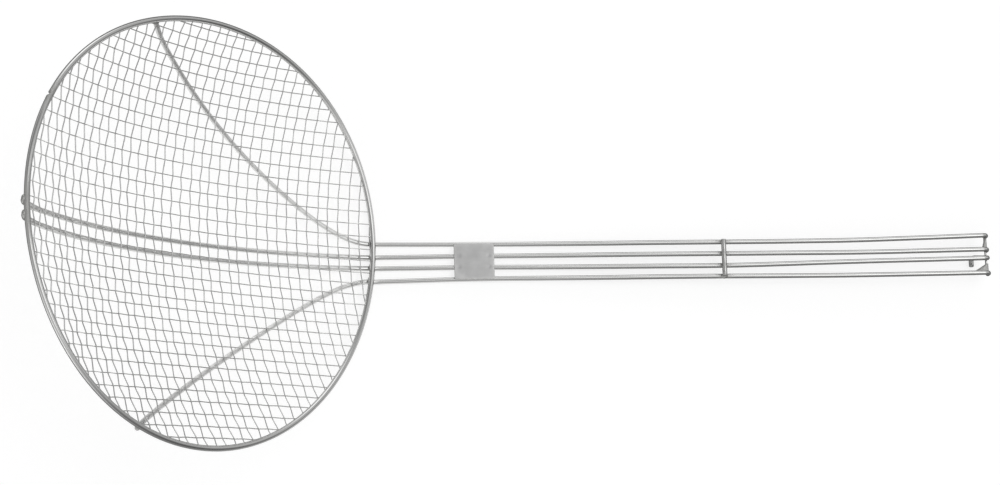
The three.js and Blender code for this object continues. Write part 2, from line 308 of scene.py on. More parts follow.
class StrainerStage(bpy.types.PropertyGroup):
    """Camera, lights and floor."""

    camera_place: places(
        "Camera place", (-732.93, -252.14, 913.59), "Where the camera stands, in the bowl's axes")
    camera_turn: bpy.props.FloatVectorProperty(
        name="Camera turn", description="How the camera is turned, in the bowl's axes",
        default=tuple(math.radians(turn) for turn in (13.723, -45.62, -2.926)),
        subtype="EULER", unit="ROTATION")
    lens: bpy.props.FloatProperty(
        name="Lens", description="Focal length on a sensor 36 mm wide", default=82.8, unit="CAMERA")
    floor_size: length("Floor size", 60000, "Side of the square floor")
    floor_glow: share("Floor glow", 0.72, "Light that the floor adds where the camera sees it")
    pool: places("Pool", (-170, 0, 115), "Middle and radius of the floor that mirrors as white")
    pool_edge: length("Pool edge", 140, "Distance in which the mirrored floor turns dim")
    key_power: bpy.props.FloatProperty(
        name="Key power", description="Power of the lamp that casts the soft shadow", default=2, unit="POWER")
    key_place: places("Key place", (450, 200, 1800), "Where the lamp hangs, in the frame's axes")
    key_size: length("Key size", 900, "Side of the lamp that casts the soft shadow")
    room: share("Room", 0.96, "Brightness of the room's walls and ceiling")
    ceiling: soft_light("Ceiling light", (0.30, 0.12, 0.95), 33, 1.65, "Soft light overhead")
    window: soft_light("Window", (0.12, 0.94, 0.32), 21, 1.57, "Soft light behind the handle")
    side_light: soft_light("Side light", (0.80, 0.11, 0.58), 51, 1.26, "Soft light past the handle's end")
    front_light: soft_light("Front light", (0.33, -0.26, 0.91), 72, 1.42, "Soft light over the camera's side")
    front_dim: soft_light("Front dim", (0.80, -0.59, 0.07), 1.8, -0.86, "Dark corner past the handle")
    low_dim: soft_light("Low dim", (0.23, -0.88, 0.42), 36, -0.31, "Dark wall on the camera's side")
    back_dim: soft_light("Back dim", (-0.34, 0.65, 0.68), 0.9, -0.67, "Dimmer half of the room")
    left_light: soft_light("Left light", (-0.74, -0.67, -0.08), 15, 1.34, "Soft light on the bowl's side")
    back_light: soft_light("Back light", (-0.59, 0.80, -0.05), 11, 0.47, "Soft light behind the bowl")


class StrainerSettings(bpy.types.PropertyGroup):
    """All settings of the strainer."""

    wires: bpy.props.PointerProperty(type=StrainerWires)
    bowl: bpy.props.PointerProperty(type=StrainerBowl)
    mesh: bpy.props.PointerProperty(type=StrainerMesh)
    handle: bpy.props.PointerProperty(type=StrainerHandle)
    finish: bpy.props.PointerProperty(type=StrainerFinish)
    stage: bpy.props.PointerProperty(type=StrainerStage)


# Geometry

Surface = namedtuple("Surface", "points squares triangles run dull tint")


def travelled(path):
    """Distance along a line from its first point: the running sum of its steps."""
    steps = np.linalg.norm(np.diff(path, axis=0), axis=1)
    return np.concatenate([[0], np.cumsum(steps)])


def resampled(path, step):
    """The same line with points an even step apart, read off against the distance along it."""
    distance = travelled(path)
    even = np.linspace(0, distance[-1], max(round(distance[-1] / step), 2) + 1)
    return np.stack([np.interp(even, distance, column) for column in path.T], axis=1)


def eased(path, reach):
    """A line with its kinks rounded: each point becomes the mean of the points within reach on either side.
    Past its ends the line is turned half round them, so the ends stay."""
    before = 2 * path[0] - path[reach:0:-1]
    after = 2 * path[-1] - path[-2:-reach - 2:-1]
    total = np.cumsum(np.concatenate([np.zeros((1, 3)), before, path, after]), axis=0)
    span = 2 * reach + 1
    return (total[span:] - total[:-span]) / span


def rounded(path, radius, rounding):
    """Path and radius of a wire with rounded ends: on a quarter circle t from the end's face, the section
    stands in by rounding (1 - cos t) and is smaller by rounding (1 - sin t)."""
    turn = np.linspace(0, np.pi / 2, END_RINGS)
    inset = rounding * (1 - np.cos(turn))[:, None]
    less = rounding * (1 - np.sin(turn))
    inwards = path[[1, -2]] - path[[0, -1]]
    inwards /= np.linalg.norm(inwards, axis=1, keepdims=True)
    head = path[0] + inset * inwards[0]
    tail = path[-1] + inset[::-1] * inwards[1]
    radii = np.concatenate([radius - less, np.full(len(path) - 2, radius), radius - less[::-1]])
    return np.concatenate([head, path[1:-1], tail]), radii[:, None]


def ringed(rings, run, dull, tint, closed=False):
    """Closed surface over rings[i, j], point j of ring i: squares between neighbouring rings, and at open
    ends a fan of triangles to the ring's mean. It faces outwards where the points of a ring turn
    right-handed about the way from ring to ring."""
    count, sides = rings.shape[:2]
    here = np.arange(count * sides).reshape(count, sides)
    beside = np.roll(here, -1, axis=1)
    corners = np.stack([here, beside, np.roll(beside, -1, axis=0), np.roll(here, -1, axis=0)], axis=-1)
    marks = [np.broadcast_to(mark, (count, sides)) for mark in (dull, tint)]
    run = np.broadcast_to(run, (count, sides, 3))
    if closed:
        none = np.zeros((0, 3), dtype=int)
        return Surface(rings.reshape(-1, 3), corners.reshape(-1, 4), none, run.reshape(-1, 3),
                       marks[0].ravel(), marks[1].ravel())
    poles = np.full(sides, count * sides)
    head = np.stack([poles, beside[0], here[0]], axis=1)
    tail = np.stack([poles + 1, here[-1], beside[-1]], axis=1)
    ends = [0, -1]
    return Surface(
        np.concatenate([rings.reshape(-1, 3), rings[ends].mean(axis=1)]),
        corners[:-1].reshape(-1, 4),
        np.concatenate([head, tail]),
        np.concatenate([run.reshape(-1, 3), run[ends].mean(axis=1)]),
        np.concatenate([marks[0].ravel(), marks[0][ends].mean(axis=1)]),
        np.concatenate([marks[1].ravel(), marks[1][ends].mean(axis=1)]))


def wire(path, radius, across, sides=WIRE_SIDES, closed=False, rounding=0, welds=None, weld_reach=0,
         tint=0.0):
    """Round wire: a circle carried along the path, ring = path + radius (cos a side + sin a up), where side
    is the direction across, made square to the path, and up is forward x side. Near welds the wire is
    marked dull, by exp(-(d / reach)^2) of the distance d to the nearest."""
    if rounding:
        path, radius = rounded(path, radius, rounding)
    if closed:
        forward = np.roll(path, -1, axis=0) - np.roll(path, 1, axis=0)
    else:
        forward = np.gradient(path, axis=0)
    distance = travelled(path)
    forward /= np.linalg.norm(forward, axis=1, keepdims=True)
    side = across - (forward @ across)[:, None] * forward
    side /= np.linalg.norm(side, axis=1, keepdims=True)
    up = np.cross(forward, side)
    turn = np.linspace(0, 2 * np.pi, sides, endpoint=False)
    radius = np.broadcast_to(radius, (len(path), sides))
    beside = radius * np.cos(turn)
    above = radius * np.sin(turn)
    rings = path[:, None] + beside[..., None] * side[:, None] + above[..., None] * up[:, None]
    run = np.stack([np.broadcast_to(distance[:, None], beside.shape), beside, above], axis=-1)
    dull = np.zeros((len(path), 1))
    if welds is not None:
        gaps = np.linalg.norm(path[:, None] - welds[None], axis=2) / weld_reach
        dull = np.exp(-gaps.min(axis=1) ** 2)[:, None]
    return ringed(rings, run, dull, tint, closed)


def bead(centre, along, outward, radii, seed):
    """Lump of weld metal: an ellipsoid of the three radii, (sin u cos v, -sin u sin v, cos u), swollen by
    waves of v and u that die away at its poles."""
    chance = np.random.default_rng(seed)
    u = np.linspace(0, np.pi, BEAD_RINGS + 2)[1:-1, None]
    v = np.linspace(0, 2 * np.pi, BEAD_SIDES, endpoint=False)[None]
    swell = np.ones((BEAD_RINGS, BEAD_SIDES))
    for turns in (1, 2, 3):
        wave = np.sin(turns * v + turns * u + chance.uniform(0, 2 * np.pi))
        swell += BEAD_SWELL / turns * wave * np.sin(u) ** 2
    unit = np.stack([np.sin(u) * np.cos(v), -np.sin(u) * np.sin(v), np.cos(u) * np.ones_like(v)], axis=-1)
    along = along / np.linalg.norm(along)
    outward = outward - (outward @ along) * along
    outward /= np.linalg.norm(outward)
    axes = np.stack([along, np.cross(outward, along), outward])
    rings = centre + (swell[..., None] * unit * np.array(radii)) @ axes
    return ringed(rings, rings - centre, 1.0, chance.uniform())


def web(path, along, upward, width, thickness):
    """Web of weld metal: an ellipse carried along the path, ring = path + thickness cos a upward + width
    sin a along."""
    turn = np.linspace(0, 2 * np.pi, WIRE_SIDES, endpoint=False)
    above = thickness * np.cos(turn)[None, :, None] * upward
    beside = (width * np.sin(turn))[..., None] * along
    rings = path[:, None] + above + beside
    return ringed(rings, rings - path.mean(axis=0), 1.0, 0.5)


def merged(surfaces):
    """Several closed surfaces as one, each keeping its own points."""
    starts = np.cumsum([0] + [len(surface.points) for surface in surfaces[:-1]])
    squares = [surface.squares + start for surface, start in zip(surfaces, starts)]
    triangles = [surface.triangles + start for surface, start in zip(surfaces, starts)]
    rest = [np.concatenate(columns) for columns in zip(*[
        (surface.points, surface.run, surface.dull, surface.tint) for surface in surfaces])]
    return Surface(rest[0], np.concatenate(squares), np.concatenate(triangles), *rest[1:])


class Layout:
    """Places that follow from the settings, in the bowl's own axes: the origin at the rim's centre, x
    towards the handle and z out of the open side. Three spheres with one centre carry the rim, the mesh and
    the frame wires."""

    def __init__(self, settings):
        wires, bowl, handle = settings.wires, settings.bowl, settings.handle
        self.wires, self.bowl, self.mesh, self.handle = wires, bowl, settings.mesh, handle
        cos, sin = math.cos(bowl.tilt), math.sin(bowl.tilt)
        self.axes = np.array([[cos, 0, -sin], [0, 1, 0], [sin, 0, cos]])
        self.origin = (RIM_LOW + RIM_HIGH) / 2
        self.rim_sphere = (bowl.radius ** 2 + bowl.depth ** 2) / (2 * bowl.depth)
        self.height = self.rim_sphere - bowl.depth
        self.frame_reach = (wires.rim + wires.frame) / 2 + wires.seat
        self.frame_sphere = self.rim_sphere + self.frame_reach
        # Below the cloth's middle are the lower of two crossing wires and half the space between them.
        lower = wires.mesh + settings.mesh.clearance / 2
        self.mesh_sphere = self.frame_sphere - wires.frame / 2 - wires.seat - lower
        self.rim_slope = math.asin(bowl.radius / self.rim_sphere)
        self.leave = self.frame_sphere * math.sin(self.rim_slope)
        self.bend = handle.bend * math.copysign(1, handle.rise - self.rim_slope)
        self.bend_length = self.bend * (handle.rise - self.rim_slope)
        self.along = np.array([math.cos(handle.rise), 0, math.sin(handle.rise)])
        self.upward = np.array([-math.sin(handle.rise), 0, math.cos(handle.rise)])
        self.tip_start = handle.reach - wires.frame / 2 - handle.tip_bend
        plate_middle = handle.plate_start + handle.plate_length / 2
        half_way = (handle.bar_start + self.tip_start) / 2
        self.stations = (0, plate_middle, handle.bar_start, half_way, self.tip_start)
        self.sides = {name: np.array(getattr(handle, name)) for name in LONG_WIRES}

    def placed(self, points):
        """Points of the bowl's axes in the frame's axes."""
        return points @ self.axes + self.origin

    def turned(self, direction):
        """A direction of the bowl's axes in the frame's axes."""
        return np.asarray(direction, dtype=float) @ self.axes

    def on_sphere(self, x, y, radius):
        """The point of a sphere under plan place x, y: z = height - sqrt(radius^2 - r^2). The plan distance
        r is stretched so that the hand-bent hoop counts as a circle: fully on the far half, less towards
        the handle."""
        fit = np.clip(1 - x / self.leave, 0, 1)
        stretch = 1 + fit * (self.bowl.radius / self.rim_radius(np.arctan2(y, x)) - 1)
        plan = np.hypot(x, y) * stretch
        return np.stack(np.broadcast_arrays(x, y, self.height - np.sqrt(radius ** 2 - plan ** 2)), axis=-1)

    def rim_radius(self, turn):
        """Radius of the hand-bent hoop: a circle off its centre, with an oval, a three-lobed and a
        four-cornered error, all cosines of the turn."""
        bowl = self.bowl
        drift = bowl.drift * np.cos(turn - bowl.drift_axis)
        oval = bowl.oval * np.cos(2 * (turn - bowl.oval_axis))
        lobe = bowl.lobe * np.cos(3 * (turn - bowl.lobe_axis))
        corner = bowl.corner * np.cos(4 * (turn - bowl.corner_axis))
        return bowl.radius + bowl.spread + drift + oval + lobe + corner

    def rim_point(self, turn):
        """The point of the hoop's centre line at a turn from the handle's direction."""
        radius = self.rim_radius(turn)
        return np.stack([radius * np.cos(turn), radius * np.sin(turn), np.zeros_like(radius)], axis=-1)

    def rim_at(self, y, sign):
        """The turn at which the hoop is y to the side, on the handle's side (sign 1) or the far side (-1)."""
        turn = math.atan2(y, sign * self.bowl.radius)
        across = math.sqrt(self.rim_radius(turn) ** 2 - y ** 2)
        return np.array(math.atan2(y, sign * across))

    def handle_point(self, distance, side, height):
        """A place on the handle: its distance from where the wires leave the bowl's sphere, along the bend
        and the straight, its place beside the handle's middle and its height above the wires' middle."""
        ahead = np.asarray(distance) - self.bend_length
        start = self.bend_point(self.handle.rise, 0)
        side = np.asarray(side) + self.handle.offset
        straight = start + ahead[..., None] * self.along + np.asarray(height)[..., None] * self.upward
        return straight + side[..., None] * np.array([0, 1, 0])

    def bend_point(self, slope, y):
        """A point of the bend between the bowl and the handle: a circle's arc, by its slope."""
        x = self.leave + self.bend * (np.sin(slope) - math.sin(self.rim_slope))
        z = self.height - self.frame_sphere * math.cos(self.rim_slope)
        z = z + self.bend * (math.cos(self.rim_slope) - np.cos(slope))
        return np.stack(np.broadcast_arrays(x, y, z), axis=-1)

    def fan(self, sign, y, turn, bow, overhang):
        """An outer wire under the bowl. In plan its way turns from the handle's line by turn (1 - exp(-s /
        ease)) after the distance s, with a slow bow; the steps' sum is carried down onto the frame wires'
        sphere, and at its end the wire rises into its weld as exp(-(d / reach)^2) of the distance d."""
        bowl = self.bowl
        run = np.linspace(0, 2 * bowl.radius, FAN_STEPS)
        way = turn * (1 - np.exp(-run / bowl.fan_ease)) + bow * run / bowl.radius
        step = run[1]
        x = self.leave - step * np.cumsum(np.cos(way))
        y = y + sign * step * np.cumsum(np.sin(way))
        inside = np.hypot(x, y) < self.rim_radius(np.arctan2(y, x)) + overhang
        stop = np.flatnonzero(inside)[-1] + 1
        sunk = bowl.sink * np.exp(-((run[stop - 1] - run[:stop]) / bowl.sink_reach) ** 2)
        return self.on_sphere(x[:stop], y[:stop], self.frame_sphere - sunk)

    def crossing(self, near, middle, far):
        """An inner wire under the bowl. In plan it is a parabola through its side places at the handle, at
        mid bowl and at the far rim, carried down onto the frame wires' sphere. It rises into its weld as
        exp(-(d / reach)^2) of the distance d, and curls round the far rim, a circle's arc about the hoop's
        section that leans to the left."""
        rim = self.rim_point(self.rim_at(far, -1))
        under_rim = rim[0] - self.frame_reach * math.sin(self.rim_slope)
        # The bend at the handle has the first point, and the curl takes over from the last three.
        x = np.linspace(self.leave, under_rim, CROSSING_STEPS)[1:-3]
        part = x / self.leave
        y = middle + (near - far) / 2 * part + ((near + far) / 2 - middle) * part ** 2
        sunk = self.bowl.sink * np.exp(-((x - x[-1]) / self.bowl.sink_reach) ** 2)
        share_turned = np.linspace(0, 1, CURL_STEPS)
        slope = self.rim_slope + self.bowl.curl * share_turned
        reach = self.frame_reach - self.bowl.sink
        lean = far + self.bowl.curl_lean * share_turned
        curl = np.stack([rim[0] - reach * np.sin(slope), lean, -reach * np.cos(slope)], axis=-1)
        return np.concatenate([self.on_sphere(x, y, self.frame_sphere - sunk), curl])

    def tip(self, name):
        """The end of a frame wire, from its tip: it turns down in a circle's arc with a straight past it.
        On the hooked wire the straight is a leg with a foot, a quarter circle and a straight to the right,
        and all of it leans."""
        handle = self.handle
        hooked = name == HOOKED_WIRE
        turn = np.linspace(0, handle.hook_turn if hooked else handle.tip_turn, TIP_STEPS)
        arc = np.stack([
            self.tip_start + handle.tip_bend * np.sin(turn), np.full(turn.shape, self.sides[name][-1]),
            handle.tip_bend * (np.cos(turn) - 1)], axis=1)
        down = np.array([math.cos(turn[-1]), 0, -math.sin(turn[-1])])
        if not hooked:
            line = np.concatenate([arc, arc[-1:] + handle.tip_length * down])
        else:
            right = np.array([0, -1, 0])
            bent = np.linspace(0, np.pi / 2, BEND_STEPS)[:, None]
            ankle = arc[-1] + handle.hook_leg * down
            foot = ankle + handle.foot_bend * (np.sin(bent) * down + (1 - np.cos(bent)) * right)
            line = np.concatenate([arc, foot, foot[-1:] + handle.foot_length * right])
            line[:, 1] -= math.tan(handle.hook_lean) * line[:, 2]
        return self.handle_point(*line[::-1].T)

    def handle_run(self, name, seed):
        """A frame wire from its tip to the bowl: the turned-down end, a straight whose side place goes
        smoothly through its places on the handle, strayed by two slow waves, and the bend to the bowl."""
        handle = self.handle
        chance = np.random.default_rng(seed)
        run = np.linspace(self.tip_start, self.bend_length, STRAIGHT_STEPS)
        side = np.interp(run, self.stations, self.sides[name])
        stray = np.zeros((2, run.size))
        for wave in handle.stray_waves:
            start = chance.uniform(0, 2 * np.pi, (2, 1))
            stray += handle.wave * np.sin(2 * np.pi * run / wave + start)
        stray *= np.clip((self.tip_start - run) / handle.stray_start, 0, 1)
        # The wires stray less up and down, where the plate and the bar hold them.
        straight = eased(self.handle_point(run, side + stray[0], 0.6 * stray[1]), STRAIGHT_EASING)
        slope = np.linspace(handle.rise, self.rim_slope, BEND_STEPS)[1:]
        bend = self.bend_point(slope, handle.offset + self.sides[name][0])
        return np.concatenate([self.tip(name), straight[1:], bend])

    def frame_wire(self, name):
        """The whole of a frame wire, from its tip to its end under the bowl."""
        bowl, handle = self.bowl, self.handle
        run = self.handle_run(name, STRAY_SEED + LONG_WIRES.index(name))
        near = handle.offset + self.sides[name][0]
        if name == "outer_left":
            under = self.fan(1, near, bowl.fan_left, 0, bowl.overhang_left)
        elif name == "outer_right":
            under = self.fan(-1, near, bowl.fan_right, bowl.fan_bow, bowl.overhang_right)
        else:
            middle, far = bowl.under_left if name == "inner_left" else bowl.under_right
            under = self.crossing(near, handle.offset + middle, handle.offset + far)
        return eased(resampled(np.concatenate([run, under]), WIRE_STEP), EASING)

    def rim_welds(self):
        """Turns on the hoop of its welds: the fan's two ends, the four wires at the handle, the two curled
        ends."""
        offset, bowl = self.handle.offset, self.bowl
        ends = [self.frame_wire(name)[-1] for name in ("outer_left", "outer_right")]
        fan = [math.atan2(end[1], end[0]) for end in ends]
        near = [float(self.rim_at(offset + side[0], 1)) for side in self.sides.values()]
        curls = (bowl.under_left[1], bowl.under_right[1])
        far = [float(self.rim_at(offset + curl + bowl.curl_lean, -1)) for curl in curls]
        return np.array(fan), np.array(near), np.array(far)

    def handle_welds(self):
        """Where the bar and where the spacers meet the wires, as two arrays of places in the bowl's axes."""
        handle = self.handle
        side = np.array([self.sides[name] for name in LONG_WIRES])
        slant = handle.bar_slant * side[:, 2] / handle.bar_length
        bar = self.handle_point(handle.bar_start - slant, side[:, 2], np.full(4, self.wires.frame / 2))
        inside = np.full(4, self.tip_start + handle.spacer_place * handle.tip_bend)
        end = self.handle_point(inside, side[:, -1], np.full(4, -handle.tip_bend))
        return bar, end

    def weld_places(self):
        """Welds in the frame's axes that dulled the long wires beside them: the fan's, the far rim's and
        the bar's."""
        fan, _, far = self.rim_welds()
        on_rim = self.rim_point(np.concatenate([fan, far]))
        return self.placed(np.concatenate([on_rim, self.handle_welds()[0]]))

    def lattice(self, s, t):
        """Plan place of the cloth's point s along and t across: arc lengths on the mesh's sphere, turned,
        tapered and bowed as the pressed cloth is."""
        mesh = self.mesh
        x = self.mesh_sphere * np.sin(s / self.mesh_sphere)
        y = self.mesh_sphere * np.sin(t / self.mesh_sphere)
        part_x, part_y = x / self.bowl.radius, y / self.bowl.radius
        bow = (mesh.along_bow - mesh.along_spread * part_y) * part_x ** 2
        return (x - math.tan(mesh.across_turn) * y + mesh.across_bow * part_y ** 2,
                y - mesh.along_taper * part_x * part_y - bow)

    def mesh_lines(self):
        """Places of the wires that run along and of those that run across: an even pitch, gathered in a
        slow wave for the first, each off by a small chance error."""
        mesh = self.mesh
        chance = np.random.default_rng(CLOTH_SEED)
        number = np.arange(-MESH_HALF_COUNT, MESH_HALF_COUNT + 1)
        gather = mesh.along_gather * np.cos(2 * np.pi * number / mesh.gather_wires)
        along = mesh.along_start + mesh.along_pitch * number - gather
        across = mesh.across_start + mesh.across_pitch * number
        return (along + chance.normal(0, mesh.uneven, number.size),
                across + chance.normal(0, mesh.uneven, number.size))

    def mesh_wire(self, fixed, number, others, pitch, flipped, crimp):
        """One woven wire, or None where the hoop leaves too little of it: a line of the cloth, cut where it
        meets the hoop, that rises and falls as asin(k cos n) with the number n of the wire that it
        crosses."""
        mesh = self.mesh

        def plan(run):
            """Plan place along this wire."""
            still = np.full_like(run, fixed)
            return self.lattice(still, run) if flipped else self.lattice(run, still)

        reach = np.linspace(-CLOTH_REACH, CLOTH_REACH, CLOTH_STEPS) * self.bowl.radius
        x, y = plan(reach)
        inside = np.hypot(x, y) < self.rim_radius(np.arctan2(y, x)) - mesh.sunk
        if not inside.any():
            return None
        low, high = reach[inside][[0, -1]]
        if high - low < mesh.shortest:
            return None
        run = np.linspace(low, high, round((high - low) / pitch * MESH_STEPS) + 1)
        crossed = np.interp(run, others, np.arange(others.size)) + number
        edge = mesh.crimp_edge
        lift = crimp * np.arcsin(edge * np.cos(np.pi * crossed)) / math.asin(edge)
        centre = np.array([0, 0, self.height])
        cloth = self.on_sphere(*plan(run), self.mesh_sphere)
        return centre + (cloth - centre) * (1 - lift / self.mesh_sphere)[:, None]


# Materials

MIX_FACTOR, MIX_A, MIX_B, MIX_RESULT = 0, 6, 7, 2


def add(tree, kind, options=(), sockets=(), links=()):
    """Adds a node to a tree: options are its own settings, sockets its fixed inputs, links what feeds the
    others."""
    node = tree.nodes.new("ShaderNode" + kind)
    for option, value in dict(options).items():
        setattr(node, option, value)
    for socket, value in dict(sockets).items():
        node.inputs[socket].default_value = value
    for socket, source in dict(links).items():
        tree.links.new(source, node.inputs[socket])
    return node


def begun(name):
    """A new material with an empty node tree."""
    material = bpy.data.materials.new(name)
    material.use_nodes = True
    material.node_tree.nodes.clear()
    return material, material.node_tree


def solid(rgb):
    """A colour setting as a socket's value."""
    return (*rgb, 1)


def drawn_wire_nickel(finish):
    """Bright nickel plate on drawn steel wire. Plating follows the die's marks, so the wire mirrors in a
    strip along its length, slightly broken by streaks. It is satin under the bowl, where it is also painted
    lighter, a painted light that makes up for the mesh's shade, and grey and dull where weld heat has burnt
    the plate."""
    material, tree = begun("nickel_plated_drawn_wire")
    run = add(tree, "Attribute", {"attribute_name": "run"})
    dull = add(tree, "Attribute", {"attribute_name": "dull"})
    under = add(tree, "Attribute", {"attribute_name": "tint"})
    place = add(tree, "TexCoord")
    # Die marks are some 0.05 mm wide: drawn 0.5 mm wide and 14 mm long, so that they show.
    long = add(tree, "Mapping", {}, {"Scale": (1 / (14 * MM), 1 / (0.5 * MM), 1 / (0.5 * MM))},
               {"Vector": run.outputs["Vector"]})
    streaks = add(tree, "TexNoise", {}, {"Scale": 1, "Detail": 2, "Roughness": 0.5},
                  {"Vector": long.outputs["Vector"]})
    # Handling leaves smudges some 12 mm across.
    smudge = add(tree, "TexNoise", {}, {"Scale": 1 / (12 * MM), "Detail": 3},
                 {"Vector": place.outputs["Object"]})
    plate = add(tree, "Mix", {"data_type": "RGBA"},
                {MIX_A: solid(finish.wire_shade), MIX_B: solid(finish.wire_bright)},
                {MIX_FACTOR: streaks.outputs["Fac"]})
    # Under the bowl the plate is painted lighter: painted light that makes up for the shade the mesh casts on
    # these wires.
    plate = add(tree, "Mix", {"data_type": "RGBA"}, {MIX_B: solid(finish.wire_satin_painted_light)},
                {MIX_FACTOR: under.outputs["Fac"], MIX_A: plate.outputs[MIX_RESULT]})
    burnt = add(tree, "Mix", {"data_type": "RGBA"}, {MIX_B: solid(finish.weld)},
                {MIX_FACTOR: dull.outputs["Fac"], MIX_A: plate.outputs[MIX_RESULT]})
    polish = add(tree, "MapRange", {}, {"From Min": 0.3, "From Max": 0.7, "To Min": 0.13, "To Max": 0.19},
                 {"Value": smudge.outputs["Fac"]})
    # No hand polishes the wires under the bowl, so their plate stays satin.
    satin = add(tree, "Math", {"operation": "MULTIPLY_ADD"}, {1: 0.3},
                {0: under.outputs["Fac"], 2: polish.outputs["Result"]})
    rough = add(tree, "Math", {"operation": "MULTIPLY_ADD"}, {1: 0.45},
                {0: dull.outputs["Fac"], 2: satin.outputs["Value"]})
    bump = add(tree, "Bump", {}, {"Strength": 0.02, "Distance": 0.04 * MM},
               {"Height": streaks.outputs["Fac"]})
    # Die lines scatter what falls on the wire at a slant, so its edges are darker than a smooth metal's.
    shader = add(tree, "BsdfPrincipled", {}, {"Metallic": 1, "Specular Tint": solid(finish.wire_edge)},
                 {"Base Color": burnt.outputs[MIX_RESULT], "Roughness": rough.outputs["Value"],
                  "Normal": bump.outputs["Normal"]})
    add(tree, "OutputMaterial", {}, {}, {"Surface": shader.outputs["BSDF"]})
    return material


def crimped_mesh_nickel(finish):
    """Nickel plate on crimped mesh wire. Thinner plate over soft wire, flexed and handled: satin, uneven
    from wire to wire, and duller in the crimps."""
    material, tree = begun("nickel_plated_crimped_wire")
    run = add(tree, "Attribute", {"attribute_name": "run"})
    tint = add(tree, "Attribute", {"attribute_name": "tint"})
    # Worn stretches are about as long as half a mesh opening, 3 mm.
    long = add(tree, "Mapping", {}, {"Scale": (1 / (3 * MM), 1 / (0.5 * MM), 1 / (0.5 * MM))},
               {"Vector": run.outputs["Vector"]})
    worn = add(tree, "TexNoise", {"noise_dimensions": "4D"}, {"Scale": 1, "Detail": 2},
               {"Vector": long.outputs["Vector"], "W": tint.outputs["Fac"]})
    amount = add(tree, "Math", {"operation": "MULTIPLY_ADD", "use_clamp": True}, {1: 0.4, 2: 0},
                 {0: tint.outputs["Fac"], 2: worn.outputs["Fac"]})
    plate = add(tree, "Mix", {"data_type": "RGBA"},
                {MIX_A: solid(finish.mesh_shade), MIX_B: solid(finish.mesh_bright)},
                {MIX_FACTOR: amount.outputs["Value"]})
    rough = add(tree, "MapRange", {}, {"From Min": 0.3, "From Max": 0.7, "To Min": 0.26, "To Max": 0.14},
                {"Value": worn.outputs["Fac"]})
    bump = add(tree, "Bump", {}, {"Strength": 0.2, "Distance": 0.03 * MM}, {"Height": worn.outputs["Fac"]})
    shader = add(tree, "BsdfPrincipled", {}, {"Metallic": 1},
                 {"Base Color": plate.outputs[MIX_RESULT], "Roughness": rough.outputs["Result"],
                  "Normal": bump.outputs["Normal"]})
    add(tree, "OutputMaterial", {}, {}, {"Surface": shader.outputs["BSDF"]})
    return material


def rolled_sheet_nickel(finish):
    """Dull nickel plate on rolled steel sheet. Rolling leaves a fine grain along the sheet, and the plate
    over it scatters light, so the sheet is an even grey with brighter, worn edges."""
    material, tree = begun("dull_nickel_plated_rolled_sheet")
    run = add(tree, "Attribute", {"attribute_name": "run"})
    worn = add(tree, "Attribute", {"attribute_name": "tint"})
    place = add(tree, "TexCoord")
    # Rolling grain is some 0.05 mm wide: drawn 0.35 mm wide and 6 mm long, so that it shows.
    grain = add(tree, "Mapping", {}, {"Scale": (1 / (6 * MM), 1 / (0.35 * MM), 1 / (0.35 * MM))},
                {"Vector": run.outputs["Vector"]})
    lines = add(tree, "TexNoise", {}, {"Scale": 1, "Detail": 3}, {"Vector": grain.outputs["Vector"]})
    # The sheet is unevenly dull in clouds some 5 mm across.
    cloud = add(tree, "TexNoise", {}, {"Scale": 1 / (5 * MM), "Detail": 2},
                {"Vector": place.outputs["Object"]})
    mixed = add(tree, "Math", {"operation": "MULTIPLY_ADD"}, {1: 0.5},
                {0: lines.outputs["Fac"], 2: worn.outputs["Fac"]})
    plate = add(tree, "Mix", {"data_type": "RGBA"},
                {MIX_A: solid(finish.sheet_shade), MIX_B: solid(finish.sheet_bright)},
                {MIX_FACTOR: mixed.outputs["Value"]})
    rough = add(tree, "MapRange", {}, {"From Min": 0.3, "From Max": 0.7, "To Min": 0.38, "To Max": 0.5},
                {"Value": cloud.outputs["Fac"]})
    bump = add(tree, "Bump", {}, {"Strength": 0.2, "Distance": 0.03 * MM}, {"Height": lines.outputs["Fac"]})
    shader = add(tree, "BsdfPrincipled", {}, {"Metallic": 1},
                 {"Base Color": plate.outputs[MIX_RESULT], "Roughness": rough.outputs["Result"],
                  "Normal": bump.outputs["Normal"]})
    add(tree, "OutputMaterial", {}, {}, {"Surface": shader.outputs["BSDF"]})
    return material


def weld_metal(finish):
    """Resistance weld under nickel plate. The metal flowed and froze in small ripples, and the plate on it
    stays dull, so a weld is a soft grey lump without a mirror strip."""
    material, tree = begun("nickel_plated_resistance_weld")
    place = add(tree, "TexCoord")
    # Ripples of the frozen metal are about 0.7 mm apart.
    ripple = add(tree, "TexNoise", {}, {"Scale": 1 / (0.7 * MM), "Detail": 3},
                 {"Vector": place.outputs["Object"]})
    plate = add(tree, "Mix", {"data_type": "RGBA"},
                {MIX_A: solid(finish.weld_shade), MIX_B: solid(finish.weld)},
                {MIX_FACTOR: ripple.outputs["Fac"]})
    rough = add(tree, "MapRange", {}, {"From Min": 0.3, "From Max": 0.7, "To Min": 0.52, "To Max": 0.4},
                {"Value": ripple.outputs["Fac"]})
    bump = add(tree, "Bump", {}, {"Strength": 0.4, "Distance": 0.08 * MM}, {"Height": ripple.outputs["Fac"]})
    shader = add(tree, "BsdfPrincipled", {}, {"Metallic": 1},
                 {"Base Color": plate.outputs[MIX_RESULT], "Roughness": rough.outputs["Result"],
                  "Normal": bump.outputs["Normal"]})
    add(tree, "OutputMaterial", {}, {}, {"Surface": shader.outputs["BSDF"]})
    return material


